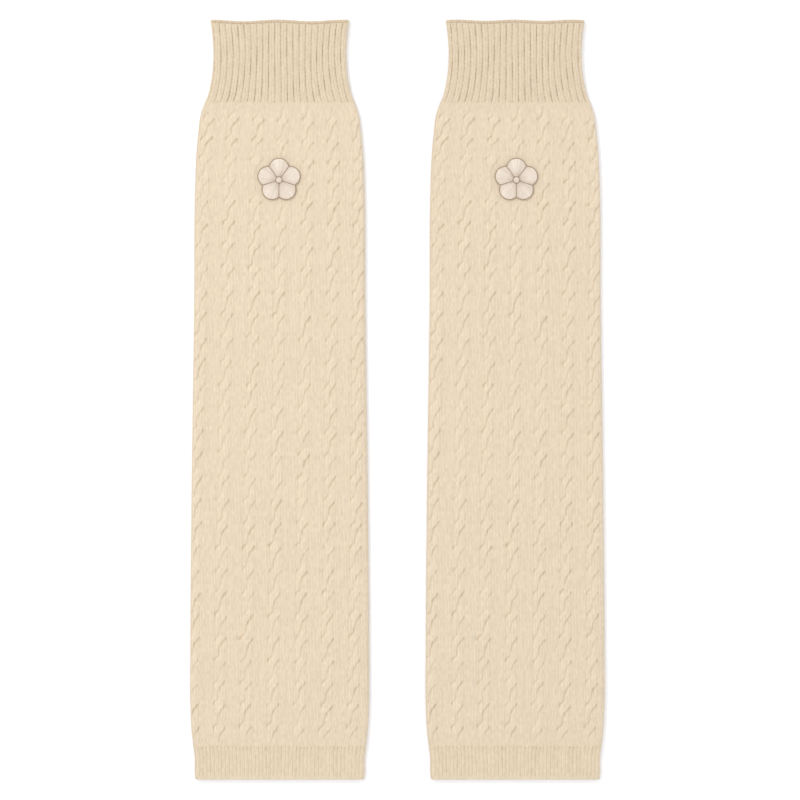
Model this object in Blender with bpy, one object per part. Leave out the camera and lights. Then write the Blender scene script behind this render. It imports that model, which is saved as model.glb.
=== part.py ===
"""Pair of cable-knit leg warmers, laid flat side by side.

X runs across the pair and Y along the legs, towards the ribbed top cuffs. Z goes up from
the surface that the pair lies on, and the origin is on that surface, under the middle.

Each leg warmer is a flattened tube of cloth in three pieces: a ribbed cuff, a cabled leg
and a finely ribbed hem. A place on a tube is given by two distances along its skin:
"across" is measured from the middle of the upper side, round the edge and on underneath,
and "down" is measured from the top edge of the cuff. "Lift" is the height of the relief
above the plain skin. The underside lies flat, so the relief is on the upper side only.
"""

import math

import bmesh
import bpy
import numpy as np

MM = 0.001

# ---------------------------------------------------------------- the whole garment
LENGTH = 480 * MM
CENTRE_DISTANCE = 148.8 * MM        # between the middle lines of the two leg warmers
SEAM_GAP = 0.3 * MM
LAYER_GAP = 0.8 * MM                # between the upper and the lower layer of a tube
CUFF_DEPTH = 53 * MM
HEM_DEPTH = 22 * MM

# Points round each edge of a tube: the part of the half turn, and how far the slant of the
# upper side has settled there to the straight row of the underside
EDGE_TURNS = ((0.5, 0.0), (0.78, 0.5), (1.0, 1.0))
EDGE_CLEARANCE = 0.5 * MM           # between those points and the relief next to them

# Walls of the three pieces
CUFF_WALL = 1.6 * MM
LEG_WALL = 1.8 * MM
HEM_WALL = 1.5 * MM

# Half of the flat width at distances down from the top edge, in millimetres
OUTLINE = (
    # down, half_width
    (0, 44.1),
    (4, 43.3),
    (10, 42.6),
    (22, 42.0),
    (34, 42.7),
    (42, 44.0),
    (49, 45.9),
    (53, 47.7),
    (60, 50.0),
    (70, 51.3),
    (85, 52.7),
    (105, 53.5),
    (180, 54.1),
    (300, 55.7),
    (400, 56.5),
    (432, 56.5),
    (449, 55.7),
    (458, 54.7),
    (468, 53.6),
    (475, 53.7),
    (480, 53.4),
)

# ---------------------------------------------------------------- ribbed cuff
CUFF_RIBS = 23                      # on the upper side
CUFF_RIB_PITCH = 3.77 * MM          # where the cuff is narrowest
CUFF_NARROWEST = 42.0 * MM
CUFF_RIB_LIFT = 1.0 * MM
CUFF_RIB_SHOULDER = 0.32            # of the pitch, from a rib's middle to its shoulders
BOUND_EDGE = 1.3 * MM               # height of the smooth band along the top edge
BOUND_EDGE_LIFT = 0.5 * MM
EDGE_WAVE_REACH = 18 * MM           # how far down the waves of the top edge die out
CUFF_ROWS = (0, 1.3, 2.1, 12, 24, 34, 42, 48)
CUFF_INNER_ROWS = (0, 12, 24, 42)

# ---------------------------------------------------------------- cabled leg
CABLES = 7                          # on the upper side
CABLE_WIDTH = 7.6 * MM
CABLE_LIFT = 1.5 * MM
CABLES_PER_WIDTH_TOP = 6.5          # flat width over cable pitch, at the cuff
CABLES_PER_WIDTH_FOOT = 6.7         # and at the hem
ROWS_PER_CROSSING = 3
CROSSING_TILT = 0.45 * MM           # how much lower each cable crosses than the one to its left

# The strands of a cable cross along slanted lines. One row for each of four places across
# a cable: where it is, how many millimetres it has slipped down the line, and its share of
# the lift in the groove between two strands and on the crest of a strand.
CABLE_PROFILE = (
    # of_width, slip, groove, crest
    (-0.50, 5.0, 0.00, 0.12),
    (-0.28, 2.2, 0.35, 1.00),
    (0.28, -2.2, 0.35, 1.00),
    (0.50, -5.0, 0.00, 0.12),
)

# Where the middle cable's strands cross, in millimetres down from the top edge
CROSSINGS = (
    # number, down
    (-1, 52.6),
    (0, 65.5),
    (4, 117.5),
    (8, 174.5),
    (16, 291.6),
    (24, 406.9),
    (27, 449.0),
    (28, 463.0),
)
LAST_CROSSING = 27
END_FADE = 10 * MM                  # the slip dies out this far from the ends of the leg
ROW_CLEARANCE = 3 * MM              # between the end rows and the first rows of the cables
LEG_INNER_ROWS = (62, 75, 100, 200, 320, 435, 450)

# ---------------------------------------------------------------- ribbed hem
HEM_RIBS = 46
HEM_RIB_PITCH = 2.33 * MM
HEM_RIB_LIFT = 0.5 * MM
HEM_ROWS = (458, 463, 470, 480)

# ---------------------------------------------------------------- embroidered flower
FLOWER_RADIUS = 13.8 * MM
FLOWER_DOWN = 101.5 * MM
PETALS = 5
PETAL_POINTS = 8
PETAL_CENTRE = 0.55                 # of the flower's radius, from its middle
PETAL_ROUND = 0.46                  # radius of a petal's round end, of the flower's radius
FLOWER_EDGE = 0.6 * MM              # thickness at its rim
FLOWER_CROWN = 1.1 * MM             # and along its petals
FLOWER_RINGS = ((0.28, 0.75), (0.62, 1.0), (1.0, 0.0))      # of the radius, of the crown
PRESSED_MARGIN = 1.5 * MM           # the cables lie flat this far round the flower
PRESSED_REACH = 3.5 * MM            # and rise to their full height in this distance more

# The two leg warmers. "twist" is how far the middle cable lies to the right of the middle
# line, at the cuff and at the hem. Then come the waves of the cuff's top edge and the place
# of the flower, all in millimetres, and the shift of the cuff's ribs, in ribs.
GARMENT_COLUMNS = (
    "side", "twist_cuff", "twist_hem", "wave", "wave_length", "wave_crest", "flower", "rib_shift")
GARMENTS = (
    ("left", 2.4, -4.7, 1.0, 42.5, -1.5, -0.3, -0.29),
    ("right", 2.4, -4.7, 0.75, 36.5, -0.5, -0.3, 0.0),
)

# Colours as seen, out of 255, and roughness
FINISHES = {
    # red, green, blue, roughness
    "cuff": (226, 208, 182, 0.92),
    "leg": (234, 217, 192, 0.90),
    "hem": (229, 211, 184, 0.92),
    "flower": (240, 231, 218, 0.70),
}
SCREEN_GAMMA = 2.2
SHARP_ANGLE = math.radians(35)      # faces that meet at less are shaded smooth


def smooth_value(table, place):
    """Reads a two-column table in millimetres along a smooth curve; metres in and out."""
    known = np.array([row[0] for row in table], dtype=float)
    values = np.array([row[1] for row in table], dtype=float)
    slopes = np.gradient(values, known)
    spot = float(np.clip(place, known[0], known[-1]))
    index = min(int(np.searchsorted(known, spot, side="right")) - 1, len(known) - 2)
    span = known[index + 1] - known[index]
    part = (spot - known[index]) / span
    start = (1 + 2 * part) * (1 - part) ** 2 * values[index]
    start += part * (1 - part) ** 2 * span * slopes[index]
    end = part ** 2 * (3 - 2 * part) * values[index + 1]
    end += part ** 2 * (part - 1) * span * slopes[index + 1]
    return float(start + end)


def half_width(down):
    return smooth_value(OUTLINE, down / MM) * MM


def fade(place, reach):
    """0 at an end of the cloth, rising smoothly to 1 at the given reach from it."""
    part = min(max(place / reach, 0.0), 1.0)
    return part * part * (3 - 2 * part)


class Tube:
    """One flattened tube of cloth: a flat upper and lower side joined by round edges,
    round which the relief dies away."""

    def __init__(self, garment, wall):
        self.garment = garment
        self.wall = wall
        self.radius = wall + LAYER_GAP / 2
        sign = -1 if garment["side"] == "left" else 1
        self.centre_x = sign * CENTRE_DISTANCE / 2

    def flat_half(self, down):
        return half_width(down) - self.radius

    def reach(self, down, turn=1.0):
        """Distance across to the given part of the half turn round the edge."""
        return self.flat_half(down) + turn * math.pi * self.radius

    def skin(self, across, down, lift=0.0, inner=False):
        """Point of the outer skin, or of the inner one, in world coordinates."""
        flat = self.flat_half(down)
        radius = LAYER_GAP / 2 if inner else self.radius
        side = math.copysign(1.0, across)
        past_flat = abs(across) - flat
        angle = min(max(past_flat / radius, 0.0), math.pi)
        beyond = max(past_flat - math.pi * radius, 0.0)
        relief = lift * max(math.cos(angle), 0.0) ** 2
        reach = min(abs(across), flat) + (radius + relief) * math.sin(angle) - beyond
        height = self.radius + (radius + relief) * math.cos(angle)
        wave = self.edge_wave(side * reach) * (1 - fade(down, EDGE_WAVE_REACH))
        return (self.centre_x + side * reach, LENGTH / 2 - down - wave, height)

    def edge_wave(self, sideways):
        """How far down the cuff's top edge dips at this distance from the middle line."""
        turns = (sideways / MM - self.garment["wave_crest"]) / self.garment["wave_length"]
        return 0.5 * (1 - math.cos(2 * math.pi * turns)) * self.garment["wave"] * MM

    def ring(self, places, under):
        """Closes the upper side's places, given as across, down and lift, round both edges.
        The underside is reached at the distance down given as under."""
        before = []
        after = []
        for turn, settled in EDGE_TURNS:
            for end, side, points in ((places[0], -1, before), (places[-1], 1, after)):
                down = end[1] + settled * (under - end[1])
                across = max(self.reach(down, turn), side * end[0] + EDGE_CLEARANCE)
                points.append((side * across, down, 0.0))
        return before[::-1] + places + after

    def inner_ring(self, down):
        flat = self.flat_half(down)
        corner = flat + math.pi * LAYER_GAP / 2
        edge = flat + math.pi * LAYER_GAP / 4
        under = flat + corner
        across = (-corner, -edge, -flat, 0.0, flat, edge, corner, under)
        return [(value, down, 0.0) for value in across]


def bridge_rings(bm, outer, inner):
    """Closes a rim between two rings of unlike counts. A ring is a list of vertices with
    their places round the tube, from 0 to 1, and the ring that lags steps on first."""
    step_out = 0
    step_in = 0
    while step_out < len(outer) or step_in < len(inner):
        next_out = outer[(step_out + 1) % len(outer)][1] + (step_out + 1) // len(outer)
        next_in = inner[(step_in + 1) % len(inner)][1] + (step_in + 1) // len(inner)
        here_out = outer[step_out % len(outer)][0]
        here_in = inner[step_in % len(inner)][0]
        out_lags = step_in == len(inner) or (step_out < len(outer) and next_out <= next_in)
        if out_lags:
            step_out += 1
            bm.faces.new((here_out, outer[step_out % len(outer)][0], here_in))
        else:
            step_in += 1
            bm.faces.new((here_out, inner[step_in % len(inner)][0], here_in))


def loft(bm, tube, rings, inner=False):
    """Makes the rings' vertices and the faces between them, and returns the two end rings
    with each vertex's place round the tube, as bridge_rings takes them."""
    rows = []
    for ring in rings:
        rows.append([bm.verts.new(tube.skin(*place, inner=inner)) for place in ring])
    for upper, lower in zip(rows, rows[1:]):
        for here, corner in enumerate(upper):
            after = (here + 1) % len(upper)
            bm.faces.new((corner, upper[after], lower[after], lower[here]))
    ends = []
    for ring, row in ((rings[0], rows[0]), (rings[-1], rows[-1])):
        radius = LAYER_GAP / 2 if inner else tube.radius
        half_round = 2 * tube.flat_half(ring[0][1]) + math.pi * radius
        ends.append([(vert, 0.5 + place[0] / half_round / 2) for vert, place in zip(row, ring)])
    return ends


def finish_material(kind):
    """Plain finish in the colour of the yarn, from the table above."""
    name = kind + "_yarn"
    if name in bpy.data.materials:
        return bpy.data.materials[name]
    red, green, blue, roughness = FINISHES[kind]
    material = bpy.data.materials.new(name)
    material.use_nodes = True
    shader = material.node_tree.nodes["Principled BSDF"]
    linear = [(value / 255) ** SCREEN_GAMMA for value in (red, green, blue)]
    shader.inputs["Base Color"].default_value = (*linear, 1.0)
    shader.inputs["Roughness"].default_value = roughness
    shader.inputs["Metallic"].default_value = 0.0
    return material


def finish_object(bm, kind, side, collection):
    """Turns the mesh into the named object for its kind and side."""
    bmesh.ops.triangulate(bm, faces=bm.faces[:], quad_method="SHORT_EDGE")
    bmesh.ops.recalc_face_normals(bm, faces=bm.faces[:])
    mesh = bpy.data.meshes.new(kind + "_" + side)
    bm.to_mesh(mesh)
    bm.free()
    mesh.shade_smooth()
    mesh.set_sharp_from_angle(angle=SHARP_ANGLE)
    mesh.materials.append(finish_material(kind))
    made = bpy.data.objects.new(kind + "_" + side, mesh)
    collection.objects.link(made)
    return made


def cloth_tube(tube, rings, inner_downs, kind, collection):
    """A closed wall of cloth, open at both ends, with its relief on the outer rings."""
    bm = bmesh.new()
    outer_ends = loft(bm, tube, rings)
    inner_ends = loft(bm, tube, [tube.inner_ring(down) for down in inner_downs], inner=True)
    for outer, inner in zip(outer_ends, inner_ends):
        bridge_rings(bm, outer, inner)
    return finish_object(bm, kind, tube.garment["side"], collection)


def make_cuff(garment, collection):
    """Broad ribs that spread as the cuff widens, below a smooth bound-off edge."""
    tube = Tube(garment, CUFF_WALL)
    rings = []
    for row in CUFF_ROWS + ((CUFF_DEPTH - SEAM_GAP / 2) / MM,):
        down = row * MM
        pitch = CUFF_RIB_PITCH * half_width(down) / CUFF_NARROWEST
        in_band = down < BOUND_EDGE + SEAM_GAP
        ridge = BOUND_EDGE_LIFT if in_band else CUFF_RIB_LIFT
        groove = BOUND_EDGE_LIFT if in_band else 0.0
        places = []
        for rib in range(CUFF_RIBS):
            middle = (rib - (CUFF_RIBS - 1) / 2 + garment["rib_shift"]) * pitch
            if rib > 0:
                places.append((middle - pitch / 2, down, groove))
            places.append((middle - CUFF_RIB_SHOULDER * pitch, down, ridge))
            places.append((middle + CUFF_RIB_SHOULDER * pitch, down, ridge))
        rings.append(tube.ring(places, down))
    inner_downs = [row * MM for row in CUFF_INNER_ROWS]
    inner_downs.append(CUFF_DEPTH - SEAM_GAP / 2)
    return cloth_tube(tube, rings, inner_downs, "cuff", collection)


def cable_middle(garment, cable, down):
    """Distance across to the middle of a cable; the middle cable is number 0."""
    start = CUFF_DEPTH
    part = (down - start) / (LENGTH - HEM_DEPTH - start)
    per_width = CABLES_PER_WIDTH_TOP + part * (CABLES_PER_WIDTH_FOOT - CABLES_PER_WIDTH_TOP)
    twist = garment["twist_cuff"] + part * (garment["twist_hem"] - garment["twist_cuff"])
    return twist * MM + cable * 2 * half_width(down) / per_width


def free_of_flower(garment, across, down):
    """0 where the flower holds the cloth flat, rising to 1 further out."""
    distance = math.hypot(across - garment["flower"] * MM, down - FLOWER_DOWN)
    return fade(distance - FLOWER_RADIUS - PRESSED_MARGIN, PRESSED_REACH)


def leg_rows():
    """The rows of the leg, each as its distance down and whether it lies in a groove."""
    first = CUFF_DEPTH + SEAM_GAP / 2
    last = LENGTH - HEM_DEPTH - SEAM_GAP / 2
    rows = [(first, True)]
    for count in range(ROWS_PER_CROSSING * (LAST_CROSSING + 2)):
        down = smooth_value(CROSSINGS, count / ROWS_PER_CROSSING - 1) * MM
        if first + ROW_CLEARANCE < down < last - ROW_CLEARANCE:
            rows.append((down, count % ROWS_PER_CROSSING == 0))
    rows.append((last, True))
    return rows


def make_leg(garment, collection):
    """The cabled leg: each row of places slips along the slant of the strands."""
    tube = Tube(garment, LEG_WALL)
    rows = leg_rows()
    rings = []
    for row_down, in_groove in rows:
        ends = fade(row_down - rows[0][0], END_FADE) * fade(rows[-1][0] - row_down, END_FADE)
        settling = (LENGTH - row_down) / LENGTH
        places = []
        for cable in range(-(CABLES // 2), CABLES // 2 + 1):
            tilt = cable * CROSSING_TILT * settling
            for of_width, slip, groove, crest in CABLE_PROFILE:
                down = row_down + (slip * MM + tilt) * ends
                across = cable_middle(garment, cable, down) + of_width * CABLE_WIDTH
                height = (groove if in_groove else crest) * CABLE_LIFT
                height *= free_of_flower(garment, across, down)
                places.append((across, down, height))
        rings.append(tube.ring(places, row_down))
    inner_downs = [rows[0][0]]
    inner_downs += [row * MM for row in LEG_INNER_ROWS]
    inner_downs.append(rows[-1][0])
    return cloth_tube(tube, rings, inner_downs, "leg", collection)


def make_hem(garment, collection):
    """Narrow ribs, a ridge and a groove each, down to the bottom edge."""
    tube = Tube(garment, HEM_WALL)
    start = LENGTH - HEM_DEPTH
    rings = []
    downs = [row * MM for row in HEM_ROWS]
    downs[0] = start + SEAM_GAP / 2
    for down in downs:
        pitch = HEM_RIB_PITCH * half_width(down) / half_width(LENGTH)
        places = []
        for half_rib in range(2 * HEM_RIBS - 1):
            across = (half_rib - (HEM_RIBS - 1)) * pitch / 2
            places.append((across, down, HEM_RIB_LIFT if half_rib % 2 == 0 else 0.0))
        rings.append(tube.ring(places, down))
    return cloth_tube(tube, rings, (downs[0], downs[2], downs[-1]), "hem", collection)


def petal_reach(angle):
    """Distance from the flower's middle to its outline: round petal ends side by side."""
    petal_angle = 2 * math.pi / PETALS
    off_axis = (angle + petal_angle / 2) % petal_angle - petal_angle / 2
    sideways = PETAL_CENTRE * math.sin(off_axis)
    return PETAL_CENTRE * math.cos(off_axis) + math.sqrt(PETAL_ROUND ** 2 - sideways ** 2)


def make_flower(garment, collection):
    """A thick embroidered flower on the leg's skin, crowned along its petals."""
    tube = Tube(garment, LEG_WALL)
    around = PETALS * PETAL_POINTS
    middle_across = garment["flower"] * MM

    def flower_point(part, angle, lift):
        distance = part * FLOWER_RADIUS * petal_reach(angle)
        across = middle_across + distance * math.sin(angle)
        down = FLOWER_DOWN - distance * math.cos(angle)
        return tube.skin(across, down, lift=SEAM_GAP + lift)

    bm = bmesh.new()
    top = bm.verts.new(flower_point(0.0, 0.0, FLOWER_EDGE))
    bottom = bm.verts.new(flower_point(0.0, 0.0, 0.0))
    rings = []
    for part, crown in FLOWER_RINGS:
        ring = []
        for step in range(around):
            angle = 2 * math.pi * step / around
            on_petal = 0.5 + 0.5 * math.cos(PETALS * angle)
            rise = (FLOWER_CROWN - FLOWER_EDGE) * crown * on_petal
            ring.append(bm.verts.new(flower_point(part, angle, FLOWER_EDGE + rise)))
        rings.append(ring)
    under = [bm.verts.new(flower_point(1.0, 2 * math.pi * step / around, 0.0))
             for step in range(around)]
    rings.append(under)
    for here in range(around):
        after = (here + 1) % around
        bm.faces.new((top, rings[0][here], rings[0][after]))
        bm.faces.new((bottom, under[after], under[here]))
        for inside, outside in zip(rings, rings[1:]):
            bm.faces.new((inside[here], outside[here], outside[after], inside[after]))
    return finish_object(bm, "flower", garment["side"], collection)


def main():
    for old in list(bpy.data.objects):
        bpy.data.objects.remove(old, do_unlink=True)
    collection = bpy.data.collections.new("leg_warmers")
    bpy.context.scene.collection.children.link(collection)
    for row in GARMENTS:
        garment = dict(zip(GARMENT_COLUMNS, row))
        make_cuff(garment, collection)
        make_leg(garment, collection)
        make_hem(garment, collection)
        make_flower(garment, collection)


main()
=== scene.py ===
"""Looks of a pair of cable-knit leg warmers, laid flat side by side on a white surface.

X runs across the pair and Y along the legs, towards the ribbed top cuffs. A place on a
tube of cloth is given along its skin: "across" is measured from the middle of the upper
side, round the edge and on underneath, and "down" from the top edge of the cuff. "Lift" is
the height of the relief above the plain skin. The tables and GARMENTS are in millimetres,
and every other length is in metres unless its name says so.
"""

import math

import bmesh
import bpy
import numpy as np
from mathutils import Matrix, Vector


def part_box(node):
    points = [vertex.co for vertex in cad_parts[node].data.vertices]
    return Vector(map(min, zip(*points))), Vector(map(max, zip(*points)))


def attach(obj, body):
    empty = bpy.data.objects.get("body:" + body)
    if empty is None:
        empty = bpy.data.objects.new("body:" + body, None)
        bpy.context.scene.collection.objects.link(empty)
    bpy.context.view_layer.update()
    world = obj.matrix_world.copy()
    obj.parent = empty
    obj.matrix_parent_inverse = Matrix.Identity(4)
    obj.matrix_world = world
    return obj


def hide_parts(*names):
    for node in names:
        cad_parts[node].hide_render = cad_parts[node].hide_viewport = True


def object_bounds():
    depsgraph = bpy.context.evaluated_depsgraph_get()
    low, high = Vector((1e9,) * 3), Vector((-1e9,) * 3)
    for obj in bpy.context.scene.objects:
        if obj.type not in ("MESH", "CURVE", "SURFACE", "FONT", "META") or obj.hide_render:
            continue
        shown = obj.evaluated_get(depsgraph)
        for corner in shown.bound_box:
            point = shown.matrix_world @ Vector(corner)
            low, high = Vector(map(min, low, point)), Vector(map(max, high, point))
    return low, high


MM = 0.001

# ---------------------------------------------------------------- tubes of cloth
LAYER_GAP = 0.8 * MM
CUFF_WALL = 1.6 * MM
LEG_WALL = 1.8 * MM
HEM_WALL = 1.5 * MM
CUFF_END = 53.0 * MM                # distances down to the two seams
LEG_END = 458.0 * MM
LENGTH = 480.0 * MM
SEAM_CLOSING = 0.149 * MM           # how far each piece reaches into the gap at a seam
SEAM_RISE = 0.45 * MM               # the cloth is fuller along the seam below the cuff
SEAM_BLEND = 6.0 * MM               # length over which one wall thickens into the next
RIM_BULGE = 0.6 * MM                # roundness of a free end of the cloth
RIM_STEPS = 5                       # rows that round it off
INNER_ROWS = 9
EDGE_COLUMNS = 7                    # from the relief to the end of the round edge
UNDER_COLUMNS = 4                   # from there to the middle of the underside
SHARP_ANGLE = math.radians(75)      # only the faces inside a seam meet at more
LIT_EDGE_SHADE = 0.5                # painted shade at the lit left edge, which would be too bright without it
EDGE_SHADE_TURN = 1.0               # the angle round the edge where it is full
MERGE_DISTANCE = 0.002 * MM         # points of a mesh this close become one
GIRTH_PLACES = 40                   # along a tube, for its mean girth

# Half of the flat width at distances down from the top edge
OUTLINE = (
    # down, half_width
    (0, 44.1),
    (4, 43.3),
    (10, 42.6),
    (22, 42.0),
    (34, 42.7),
    (42, 44.0),
    (49, 45.9),
    (53, 47.7),
    (60, 50.0),
    (70, 51.3),
    (85, 52.7),
    (105, 53.5),
    (180, 54.1),
    (300, 55.7),
    (400, 56.5),
    (432, 56.5),
    (449, 55.7),
    (458, 54.7),
    (468, 53.6),
    (475, 53.7),
    (480, 53.4),
)

# ---------------------------------------------------------------- ribbed cuff
CUFF_RIBS = 23
CUFF_RIB_PITCH = 3.77 * MM
CUFF_NARROWEST = 42.0 * MM
CUFF_RIB_LIFT = 0.8 * MM
CUFF_RIB_COLUMNS = 10
CUFF_ROW_STEP = 0.45 * MM
CUFF_WALES_PER_RIB = 2
CUFF_RIB_HALF = 0.48                # half of a rib's raised part, in ribs
CUFF_RIB_SQUARENESS = 3.5
CUFF_RIB_FULLNESS = 0.7
CUFF_UNEVENNESS = 0.07              # how much plumper or thinner a rib may be
CUFF_SETTLING = 1.5 * MM            # the ribs flatten over this length above the seam
RIB_SWAY = 0.05                     # how far a rib strays sideways, in ribs
CUFF_SWAY = (9 * MM, 6 * MM)        # lengths that set its waves down and across
CENTRE_DIP = 0.13                   # the fine line along a rib, as a share of its height
CENTRE_DIP_HALF = 0.1
# painted shade along the fine line, and in the grooves between the ribs
CENTRE_DIP_SHADE = 2.0
CUFF_GROOVE_SHADE = 0.74
GROOVE_SHARPNESS = 1.5              # how closely the shade keeps to a groove's bottom
GROOVE_DASH = 1.4 * MM              # length of the uneven dashes of painted shade along a groove
GROOVE_DASH_SHARE = 0.4
GROOVE_BEAD = 2.7 * MM              # from one darker bead of painted shade in a groove to the next
GROOVE_BEAD_SHARE = 0.45
GROOVE_BEAD_TURN = 2.4              # angle by which the beads of the next groove are late
GROOVE_END = 0.9 * MM               # painted shade at the end of a groove lies this far above the seam
GROOVE_END_HALF = 0.7 * MM
GROOVE_END_SHADE = 0.55
BOUND_EDGE = 1.9 * MM
BOUND_EDGE_LIFT = 0.5 * MM
# painted shade along the bound-off edge, paler on its raised loops
BOUND_EDGE_SHADE = 0.55
BOUND_EDGE_BLEND = 0.5 * MM
BOUND_LOOP_SLANT = 0.8              # sideways lean of the edge's loops, in wales
BOUND_LOOP_LOW = 0.85               # share of the edge's height between two loops
BOUND_LOOP_RISE = 0.25              # and how much a loop adds
BOUND_LOOP_PALENESS = 0.5
EDGE_WAVE_REACH = 18 * MM

# ---------------------------------------------------------------- cabled leg
CABLES = 7
CABLE_LIFT = 0.55 * MM
CABLE_HALF_WIDTH = 4.6 * MM
CABLE_SQUARENESS = 2.4
CABLE_SLOPE = 1.6
CABLE_HIGHLIGHT = 0.3                    # painted highlight: how much of the paler tone a whole raised cable has
CROSSING_PITCH = 14.3 * MM
FIRST_CROSSING = -5                 # the uneven values of the crossings start with this one
CROSSING_COUNT = 40
CROSSING_DELAY = 0.08               # how late a crossing may come, in crossings
CROSSING_STRENGTH = 0.22            # how much deeper and darker one may be
CROSSING_ASIDE = 0.45 * MM          # how far sideways its crease may lie
CREASE_WIDTH = 0.44 * MM
VALLEY_WIDTH = 1.0 * MM             # of the softer painted shade on both sides of a crease
VALLEY_SHARE = 0.25
CREASE_WAVER = 0.3 * MM             # how far a crease strays from its smooth path
CREASE_WAVER_LENGTH = 2.4 * MM
CREASE_DASH = 1.6 * MM              # length of the paler and darker parts of the painted shade along a crease
CREASE_DASH_SHARE = 0.25
SLOPE_STEP = 0.3 * MM               # over which a crease's slant is measured
PAINTED_BODY_SHADE = 0.2                     # painted shade on the plain knit, which is this much darker than the shoulders
# Painted highlights lie on the crests of the strands beside each crease
SHOULDER = 1.1 * MM                 # from a crease to the crest of the strand on top
SHOULDER_WIDTH = 0.9 * MM
CREST_ABOVE = (3.5 * MM, 5 * MM)    # the upper strand's crest ends here, over this length
CREST_BELOW = (6 * MM, 4 * MM)      # the lower strand's crest starts here, over this length
CREST_ONSET = 0.3                   # painted shade of a crease, in hundredths, that has a whole painted highlight on its crest
LIT_BAND = 6.2 * MM                 # from a cable's middle to the painted highlight on the knit on its left
LIT_BAND_WIDTH = 1.8 * MM
LIT_BAND_HIGHLIGHT = 0.3
PURL_GROOVE = 3.9 * MM              # from a cable's middle to the groove beside it
PURL_GROOVE_WIDTH = 0.6 * MM
PURL_GROOVE_DEPTH = 0.08 * MM
# painted shade in the purl groove on a cable's left
PURL_GROOVE_SHADE = 0.08
PANEL_CROWN = 0.12 * MM
PANEL_SHARE = 0.4                   # of the distance between two cables, on each side
CABLE_ZONE = 4.6 * MM               # half width of the zone with close columns
CABLE_ZONE_COLUMNS = 22
PANEL_COLUMNS = 2
LEG_ROW_STEP = 0.82 * MM
WALES_PER_CABLE = 9
CABLES_PER_WIDTH_TOP = 6.5          # the leg's width in distances between two cables
CABLES_PER_WIDTH_FOOT = 6.7
CROSSING_TILT = 0.45 * MM           # near the cuff, a cable crosses this much lower than the
                                    # one on its left
CROSSING_STEPS = 600
CABLE_START = 6 * MM                # the cables rise and fade out over this length

# The crease between two strands, from a crossing down to the next: its place across the
# cable, its depth, how far it reaches into the strand above and into the one below it,
# and its painted shade in hundredths. The strand above is on top at first, and the one below
# later.
CREASE_COLUMNS = ("across", "depth", "reach_above", "reach_below", "shade")
CREASE = (
    # down, across, depth, reach_above, reach_below, shade
    (-3.2, 3.6, 0.00, 0.7, 1.0, 0),
    (-2.4, 3.3, 0.30, 0.7, 1.1, 82),
    (-1.4, 2.9, 0.42, 0.7, 1.3, 94),
    (-0.6, 2.5, 0.42, 0.7, 1.5, 76),
    (0.4, 1.5, 0.40, 0.7, 1.8, 66),
    (1.4, 0.7, 0.40, 0.7, 1.8, 74),
    (2.4, 0.3, 0.38, 0.8, 1.8, 74),
    (4.5, -0.4, 0.30, 1.1, 1.5, 56),
    (7.6, -1.0, 0.26, 1.4, 1.1, 50),
    (9.5, -1.5, 0.30, 1.6, 0.9, 58),
    (10.5, -2.6, 0.36, 1.4, 0.7, 68),
    (11.4, -3.5, 0.36, 1.4, 0.7, 84),
    (12.8, -3.7, 0.24, 1.0, 0.7, 54),
    (14.2, -3.9, 0.00, 1.0, 0.7, 0),
)

# Where the middle cable's strands cross
CROSSINGS = (
    # number, down
    (-1, 52.6),
    (0, 65.5),
    (4, 117.5),
    (8, 174.5),
    (16, 291.6),
    (24, 406.9),
    (27, 449.0),
    (28, 463.0),
)

# ---------------------------------------------------------------- ribbed hem
HEM_RIBS = 46
HEM_RIB_PITCH = 2.33 * MM
HEM_RIB_LIFT = 0.4 * MM
HEM_RIB_COLUMNS = 6
HEM_ROW_STEP = 0.75 * MM
# painted shade in the grooves between the ribs
HEM_GROOVE_SHADE = 0.19
HEM_UNEVENNESS = 0.3
HEM_SWAY = (5 * MM, 8 * MM)         # as CUFF_SWAY
HEM_START = 1.5 * MM                # the ribs rise over this length below the seam
HEM_FINISH = 4 * MM                 # and flatten over this length above the bottom edge
HEM_END_SHADE = 0.4                 # share of the grooves' painted shade that is left there
HEM_MARK = 1.2 * MM                 # the painted shade in the grooves is deeper along a row this far below the seam
HEM_MARK_HALF = 0.7 * MM
HEM_MARK_SHADE = 0.4

# ---------------------------------------------------------------- embroidered flower
FLOWER_RADIUS = 13.8 * MM
FLOWER_DOWN = 101.5 * MM
FLOWER_GAP = 0.3 * MM
PETALS = 5
PETAL_CENTRE = 0.55
PETAL_ROUND = 0.46
FLOWER_EDGE = 0.6 * MM
FLOWER_CROWN = 1.15 * MM
PETAL_ROWS = 24
THREADS_PER_PETAL = 24
COLUMNS_PER_THREAD = 4
THREAD_RISE = 0.09 * MM
THREAD_UNEVENNESS = 0.35
THREAD_START = 0.3                  # the threads rise over this part of a petal
PETAL_FULLNESS = 0.8
DOME_FULLNESS = 0.7
PETAL_STITCHES = 14                 # on the knit map, from the middle to the rim
# Painted shade between the petals and between the threads, the threads' own uneven tone, and
# darker towards the middle
PETAL_SHADES = {
    "between petals": 0.35,
    "between threads": 0.45,
    "uneven threads": 0.25,
    "towards the middle": 0.3,
}
MIDDLE_REACH = 0.55                 # part of a petal that darkens towards the middle
CORD_RADIUS = 0.32 * MM
CORD_SIDES = 12
CORD_TURN_RISE = 0.15               # how much thicker a cord is on a turn of its thread
CORD_BLUNTNESS = 10                 # of a cord's free ends
CORD_PLACE = 0.98                   # of the outline's cord, in shares of the outline
LINE_END = 0.97                     # of the cords between the petals, in the same shares
OUTLINE_TURNS = 110                 # turns of thread on each kind of cord
RING_TURNS = 16
LINE_TURNS = 11
OUTLINE_POINTS = 601
LINE_POINTS = 60
CENTRE_RING = 2.2 * MM
CENTRE_RING_LIFT = 0.25 * MM
KNOT_RADIUS = 0.62 * MM
KNOT_RING = 1.15 * MM
KNOT_LIFT = 0.35 * MM
KNOT_FLATNESS = 0.7
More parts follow.
